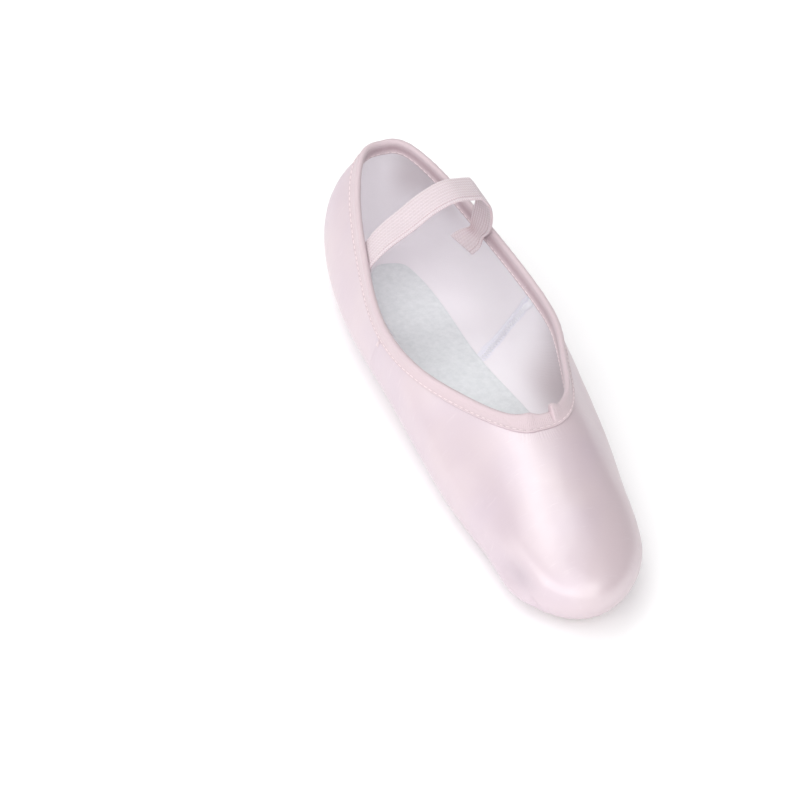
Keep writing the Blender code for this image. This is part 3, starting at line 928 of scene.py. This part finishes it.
def make_binding():
    columns = 1250
    t = crowded(columns, [(0.553, 0.016, 4.0), (0.48, 0.08, 1.0)])
    rows = len(BINDING_SECTION) * 2
    knot = np.arange(rows) / 2
    down, medial_out, lateral_out = smooth_loop(BINDING_SECTION)(np.arange(rows) / rows).T
    share = lateral_share(t)[:, None]
    outer = knot < OUTER_ROWS
    out = medial_out + share * (lateral_out - medial_out)
    down = np.where(outer, down, leaf_down(down, share))
    off = round_about(t, 0.5)[:, None]
    above = ease(4.0, 0.8, down)
    # The tape stands up round the throat, where the string gathers it
    stand = hump(off, -0.037, 0.042)
    # The lateral end of the casing laps over the medial one
    lap_edge = 0.0435
    lap = ease(lap_edge, 0.049, off) * (1.0 - 0.70 * ease(0.053, 0.072, off)) * ease(0.125, 0.066, off)
    # Gathers at the throat and small creases all round
    ripple = np.sin(uneven(t, 190, 1.5, 17))[:, None]
    creased = rumple(rim_at(t)[:, None, :] + (down * 2.0)[..., None], TAPE_SLACK)
    down -= above * (1.9 * stand + 1.9 * lap + 0.14 * ripple * hump(off, 0.0, 0.07))
    out += above * (stand + 1.9 * lap)
    out += np.where(outer, creased, -creased)
    points = off_wall(t, down, out)
    faces = sheet_faces(columns, rows, around=True, about=True)
    round_rim = travelled(np.concatenate([rim_at(t), rim_at(t[:1])]), 0)
    section = np.stack([down[0], out[0]], axis=1)
    uvs = sheet_uvs(round_rim, travelled(np.concatenate([section, section[:1]]), 0))
    # Painted shade: the channel and the inner leaf's lower edge are deeper pink on the lateral side, and so
    # is the edge of the lap
    channel_shade = (0.9 * hump(knot, 15.4, 1.6) + 0.5 * hump(knot, 21.2, 0.7)) * share
    channel_shade = channel_shade + 0.5 * hump(off, lap_edge, 0.0035) * above
    new_piece("binding_tape", points, faces, tape_cloth(), uvs, ("binding",), channel_shade)


def thread_ways(t, down, out, face=1.0):
    """A way over the wall, so far out from it, and its directions away from the cloth."""
    way = off_wall(t, down, out)[:, 0]
    return way, off_wall(t, down, out + face)[:, 0] - way


def make_binding_stitches():
    """A row of stitches along each leaf of the binding."""
    t = np.linspace(0.0, 1.0, 4001)
    thread = thread_cloth("pink_thread", (0.75, 0.63, 0.65), (0.86, 0.75, 0.765))
    share = lateral_share(t)
    for name, row, face in (("outer", OUTER_STITCHES, 1.0), ("inner", INNER_STITCHES, -1.0)):
        down, medial_out, lateral_out = row
        out = medial_out + share * (lateral_out - medial_out)
        down = leaf_down(down, share) if face < 0 else np.full(len(t), down)
        line = off_wall(t, down[:, None], out[:, None])[:, 0]
        length = travelled(line, 0)
        starts = np.arange(0.0, length[-1] - STITCH_PITCH, STITCH_PITCH)
        spots = np.interp(starts[:, None] + np.linspace(0.0, STITCH_LENGTH, len(STITCH_ARCH)), length, t)
        raised = (np.interp(spots, t, out) + np.array(STITCH_ARCH) * face).reshape(-1, 1)
        down = np.interp(spots, t, down).reshape(-1, 1)
        ways, away = thread_ways(spots.ravel(), down, raised, face)
        shape = spots.shape + (3,)
        new_threads(name + "_leaf_stitches", ways.reshape(shape), away.reshape(shape), STITCH_THREAD, thread)


def make_side_tacks():
    """The small zigzag that secures the top of each side seam, just under the binding."""
    thread = thread_cloth("tack_thread", (0.70, 0.58, 0.61), (0.84, 0.73, 0.76))
    share = np.linspace(0.0, 1.0, 12 * TACK_WAVES + 1)
    down = TACK_FROM + (TACK_TO - TACK_FROM) * share
    reach = 0.03
    for side in SEAM_AT:
        t = np.linspace(SEAM_AT[side] - reach, SEAM_AT[side] + reach, 61)
        off = past_seam(down_wall(t, down), side)
        line = t[np.abs(off).argmin(axis=0)]
        line = line[0] + (line[-1] - line[0]) * share + TACK_SWAY * np.sin(TURN * TACK_WAVES * share)
        way, away = thread_ways(line, down[:, None], TACK_LIFT)
        new_threads("side_tack_" + side, way[None], away[None], TACK_THREAD, thread)


# The strap, the insole and the outsole


def smooth_way(points):
    """A smooth curve through the points, with the same steps from each to the next."""
    points = np.array(points)
    ends = np.concatenate([[2 * points[0] - points[1]], points, [2 * points[-1] - points[-2]]])
    reach = (ends[2:] - ends[:-2]) / 6
    corners = (points[:-1], points[:-1] + reach[:-1], points[1:] - reach[1:], points[1:])
    way = bezier(corners, np.arange(STRAP_STEPS) / STRAP_STEPS).reshape(-1, 3)
    return np.concatenate([way, points[-1:]])


def strap_way():
    """The strap's middle line, as rows of across, height and twist."""
    downs = [STRAP_END_DOWN, *STRAP_BEND_DOWN]
    outs = [STRAP_ON_LINING, STRAP_ON_LINING, STRAP_ON_TAPE, STRAP_ON_TAPE, STRAP_AT_RIM]
    column = column_at("medial", STRAP_ALONG)
    beside = 0.01
    sewn, heelward, toeward = off_wall([column, column - beside, column + beside], downs, outs)
    run = toeward - heelward
    twist = np.degrees(np.arctan2(run[:, 0], -run[:, 1]))
    start = [(point[0], point[2], turn) for point, turn in zip(sewn, twist)]
    return np.concatenate([smooth_way(start + STRAP_OVER)[:-1], smooth_way(STRAP_DOWN)])


def strap_grooves(side):
    """One between the strap's cords and zero on top of them."""
    return 0.5 - 0.5 * np.cos(TURN * side / STRAP_CORD)


def strap_half(side, ribbed):
    """Half of the strap's thickness across its width: fine cords between two firm edges."""
    edge = STRAP_WIDTH / 2 - abs(side)
    half = STRAP_THICKNESS / 2 - 0.26 * ribbed * strap_grooves(side) * ease(1.2, 1.8, edge)
    half = half - 0.30 * hump(side, STRAP_LINE, STRAP_LINE_WIDTH)
    return half * np.sqrt(np.clip(1.0 - (1.0 - np.clip(edge / 0.7, 0.0, 1.0)) ** 2, 0.06, 1.0))


def make_strap():
    across, height, twist = strap_way().T
    steps = len(across)
    side = np.linspace(1.0, -1.0, STRAP_POINTS)[None, :] * STRAP_WIDTH / 2
    # Above its loose end the strap is pinched
    left = (np.arange(steps)[::-1] / STRAP_STEPS)[:, None]
    pinch = hump(left, 2.4, 0.9)
    level = side * (1.0 - 0.35 * pinch)
    turn = np.radians(twist)[:, None]
    x = across[:, None] - level * np.sin(turn)
    y = HEEL_TO_TOE / 2 - STRAP_ALONG + level * np.cos(turn)
    z = np.repeat(height[:, None], STRAP_POINTS, axis=1)
    flat = np.stack([x, y, z], axis=-1)
    normal = normalized(np.cross(np.gradient(flat, axis=0), np.gradient(flat, axis=1)))
    length = travelled(flat[:, STRAP_POINTS // 2], 0)
    wavy = rumple(flat, STRAP_SLACK) * ease(0.0, 3.0, STRAP_WIDTH / 2 - abs(side) + 1.0)
    # The cords show most where the strap is bent, and hardly at all where it lies flat
    ribbed = 0.42 + 0.38 * ease(7.5, 5.5, left) - 0.42 * ease(2.2, 1.2, left)
    half = strap_half(side, ribbed)
    top = flat + normal * (wavy + half)[..., None]
    under = flat + normal * (wavy - half)[..., None]
    tube = np.concatenate([top, under[:, ::-1]], axis=1)
    count = tube.shape[1]
    faces = sheet_faces(steps, count, about=True)
    v = np.concatenate([side[0], side[0, ::-1], side[0, :1]])
    uvs = sheet_uvs(length, v)
    # Both ends are closed across the thickness
    first = np.arange(STRAP_POINTS - 1)
    quads = np.stack([first, first + 1, count - 2 - first, count - 1 - first], axis=1)
    for ring, corners in ((0, quads), (steps - 1, quads[:, ::-1])):
        faces = np.concatenate([faces, ring * count + corners])
        ends = np.stack([np.full(corners.shape, length[ring]), v[corners]], axis=-1)
        uvs = np.concatenate([uvs, ends.reshape(-1, 2)])
    # Painted shade in the grooves between the cords, along the pressed line and where the strap is pinched
    groove_shade = 0.35 * hump(side, STRAP_LINE, STRAP_LINE_WIDTH) + 0.62 * ribbed * strap_grooves(side) ** 2
    groove_shade += 0.4 * pinch * hump(side, 4.5, 5.0)
    shade = np.concatenate([groove_shade, groove_shade[:, ::-1]], axis=1)
    new_piece("elastic", tube, faces, elastic_cloth(), uvs, ("elastic_strap",), shade)
    # The zigzag shows where the strap comes out of the collar
    thread = thread_cloth("strap_thread", (0.56, 0.44, 0.42), (0.72, 0.60, 0.58))
    columns = np.linspace(6, STRAP_POINTS - 7, SEWN_POINTS).astype(int)
    per_stroke = 8.0
    sway = abs((np.arange(SEWN_POINTS) / per_stroke) % 2.0 - 1.0)[:, None]
    nearest = abs(across[: steps // 3] - SEWN_ACROSS).argmin()
    rows = nearest + np.arange(SEWN_ROWS)[:, None] * 2
    away = normal[rows, columns]
    ways = top[rows, columns] * (1.0 - sway) + top[rows + 3, columns] * sway + away * 0.10
    new_threads("strap_tack", ways, away, SEWN_THREAD, thread)


def make_insole():
    columns = 360
    t = np.arange(columns) / columns
    insole_in = inset_at(t)[:, 1]
    top = OUTSOLE + GAP + WALL + GAP + INSOLE
    edge = zip(SOCK_IN, SOCK_ABOVE)
    rings = np.stack([flat_ring(t, insole_in + inward, top + above) for inward, above in edge], axis=1)
    rows = len(SOCK_IN)
    last = rows - 1
    half = columns // 2
    # The middle is filled by strips that join each medial point to the lateral one across from it
    steps = 14
    share = np.linspace(0.0, 1.0, steps + 1)[1:-1]
    medial = rings[1:half, last]
    lateral = rings[:half:-1, last]
    inner = medial[:, None] + share[None, :, None] * (lateral - medial)[:, None]
    inner[..., 2] = top + lift(inner[..., 1])
    here = np.arange(half + 1)
    index = np.empty((half + 1, steps + 1), int)
    index[:, 0] = here * rows + last
    index[:, steps] = -here % columns * rows + last
    index[1:half, 1:steps] = columns * rows + np.arange((half - 1) * (steps - 1)).reshape(half - 1, steps - 1)
    strips = np.stack([index[:-1, :-1], index[:-1, 1:], index[1:, 1:], index[1:, :-1]], axis=-1)
    faces = [sheet_faces(columns, rows, around=True), strips[1:-1].reshape(-1, 4)]
    # Both tips close with fans
    for tip, near, turn in ((0, index[1], 1), (half, index[half - 1], -1)):
        fan = [np.full(steps // 2, index[tip, 0]), near[2::2], near[1::2], near[:-1:2]]
        faces.append(np.stack(fan, axis=1)[:, ::turn])
    points = np.concatenate([rings.reshape(-1, 3), inner.reshape(-1, 3)])
    new_piece("insole_sock", points, np.concatenate(faces), felt_cloth(), stands_for=("insole",))


def finish_outsole():
    """The outsole's own solid has the right form, so it keeps it and gets the suede."""
    suede = suede_cloth()
    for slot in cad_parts["outsole"].material_slots:
        slot.material = suede


# The floor, the lights and the camera. The studio round them is white and dim, and the softboxes' rows have
# what make_light takes.
STUDIO_STRENGTH = 0.41
LIGHTS = [
    ("back_softbox", 172.0, 68.0, 1.6, 1.0, 0.7, 5.1),
    ("left_back_softbox", -141.0, 57.0, 1.6, 1.1, 1.0, 3.4),
    ("front_softbox", -12.0, 28.0, 2.1, 2.4, 2.1, 21.5),
    ("right_softbox", 24.0, 48.0, 1.9, 1.6, 1.6, 2.8),
    ("high_softbox", -75.0, 66.0, 1.8, 1.6, 1.4, 7.6),
    ("low_left_softbox", -58.0, 18.0, 1.9, 1.6, 1.0, 8.0),
    ("side_softbox", -93.0, 20.0, 1.9, 1.6, 1.0, 6.3),
]


def make_floor():
    size = 4.0
    corners = [(-size, -size, 0.0), (size, -size, 0.0), (size, size, 0.0), (-size, size, 0.0)]
    mesh = bpy.data.meshes.new("floor")
    mesh.from_pydata(corners, [], [(0, 1, 2, 3)])
    glow = {"Emission_Color": (1.0, 1.0, 1.0), "Emission_Strength": 0.06}
    paper = Cloth("pale_floor", (0.94, 0.94, 0.94), 0.9, **glow)
    paper.colour(paper.mix(paper.grain(6.0, 2.0), (0.965, 0.965, 0.97), (0.975, 0.975, 0.975)))
    mesh.materials.append(paper.material)
    floor = new_object("floor", mesh)


def direction(azimuth, elevation):
    """The direction to something seen round the shoe: azimuth 0 is in front of the toe and 90 is at +X."""
    side = math.radians(azimuth)
    rise = math.radians(elevation)
    return np.array([math.sin(side) * math.cos(rise), -math.cos(side) * math.cos(rise), math.sin(rise)])


def new_view(name, data, azimuth, elevation, distance, target=(0.0, 0.0, 0.0), roll=0.0):
    """A lamp or a camera that faces the target, and stands so many metres from it in this direction."""
    back = direction(azimuth, elevation)
    level = direction(azimuth + 90.0, 0.0)
    rising = np.cross(back, level)
    cosine = math.cos(math.radians(roll))
    sine = math.sin(math.radians(roll))
    axes = [level * cosine + rising * sine, rising * cosine - level * sine, back]
    turned = Matrix(np.array(axes).T.tolist()).to_4x4()
    turned.translation = (target + distance * back).tolist()
    made = new_object(name, data)
    made.matrix_world = turned
    return made


def make_light(name, azimuth, elevation, distance, width, length, power):
    lamp = bpy.data.lights.new(name, "AREA")
    lamp.shape = "RECTANGLE"
    lamp.size = width
    lamp.size_y = length
    lamp.energy = power
    light = new_view(name, lamp, azimuth, elevation, distance)
    light.visible_camera = False


def make_lights():
    """The softboxes, and a plain white studio that is seen evenly all round."""
    world = bpy.data.worlds.new("studio")
    world.use_nodes = True
    background = world.node_tree.nodes["Background"]
    background.inputs["Color"].default_value = (1.0, 1.0, 1.0, 1.0)
    background.inputs["Strength"].default_value = STUDIO_STRENGTH
    bpy.context.scene.world = world
    for light in LIGHTS:
        make_light(*light)
    bpy.context.scene.view_settings.view_transform = "Standard"


# The camera stands as the photograph's did: it looks at this place from this direction, and leans a little
CAMERA_AZIMUTH = -23.27
CAMERA_ELEVATION = 42.45
CAMERA_ROLL = 1.97
CAMERA_DISTANCE = 1235.28
CAMERA_TARGET = (-32.61, 114.27, 20.0)
FOCAL_PIXELS = 3289.73
IMAGE_PIXELS = 800
SENSOR = 36.0


def make_camera():
    data = bpy.data.cameras.new("camera")
    data.sensor_width = SENSOR
    data.lens = FOCAL_PIXELS / IMAGE_PIXELS * SENSOR
    target = (place(*CAMERA_TARGET) - SHIFT) * MM
    distance = CAMERA_DISTANCE * MM
    camera = new_view("camera", data, CAMERA_AZIMUTH, CAMERA_ELEVATION, distance, target, CAMERA_ROLL)
    bpy.context.scene.camera = camera


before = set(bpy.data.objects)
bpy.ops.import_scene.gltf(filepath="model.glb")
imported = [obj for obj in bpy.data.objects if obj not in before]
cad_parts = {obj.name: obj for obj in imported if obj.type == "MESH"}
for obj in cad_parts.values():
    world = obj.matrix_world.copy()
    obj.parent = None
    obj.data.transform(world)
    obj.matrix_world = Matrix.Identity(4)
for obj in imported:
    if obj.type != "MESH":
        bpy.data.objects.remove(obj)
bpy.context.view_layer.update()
make_upper()
make_lining()
make_overcasting()
make_binding()
make_binding_stitches()
make_side_tacks()
make_strap()
make_insole()
finish_outsole()
make_floor()
make_lights()
make_camera()
